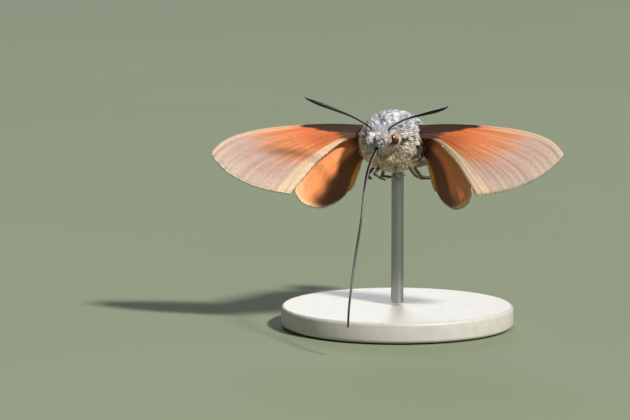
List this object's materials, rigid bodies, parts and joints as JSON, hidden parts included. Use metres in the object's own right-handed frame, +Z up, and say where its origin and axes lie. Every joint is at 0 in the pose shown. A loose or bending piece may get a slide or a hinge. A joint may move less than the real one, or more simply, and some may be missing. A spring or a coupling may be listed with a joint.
{
  "type": "hummingbird hawk moth model",
  "caption": "Life-size still model of a hummingbird hawk moth hovering with wings spread and proboscis down, held over a round base by a thin rod.",
  "frame": {"origin": "centre of the underside of the stand's round base, on the floor", "axes": "+Z up, the moth faces -Y, and its left side is at +X"},
  "size_m": [0.0467, 0.0448, 0.0303],
  "materials": {
    "coat_grey": "matt fur of fine grey-brown scales",
    "coat_dark": "matt black-brown scales",
    "coat_pale": "matt cream-white scales",
    "eye": "glossy, finely faceted, dark red-brown",
    "horn_black": "satin black horn",
    "forewing": "matt scaled membrane",
    "hindwing": "matt scaled membrane",
    "leg": "matt brown scales",
    "stand_base": "satin off-white",
    "stand_rod": "fine satin steel"
  },
  "bodies": {
    "root": {"head": "coat_grey", "thorax": "coat_grey", "abdomen": "coat_grey", "tail_fan": "coat_dark", "palp_left": "coat_pale", "palp_right": "coat_pale", "eye_left": "eye", "eye_right": "eye", "proboscis_base": "horn_black", "proboscis_shaft": "horn_black", "antenna_left": "horn_black", "antenna_right": "horn_black", "forewing_left": "forewing", "forewing_right": "forewing", "hindwing_left": "hindwing", "hindwing_right": "hindwing", "leg_fore_left": "leg", "leg_fore_right": "leg", "leg_mid_left": "leg", "leg_mid_right": "leg", "leg_hind_left": "leg", "leg_hind_right": "leg", "stand_base": "stand_base", "stand_rod": "stand_rod"}
  },
  "joints": []
}
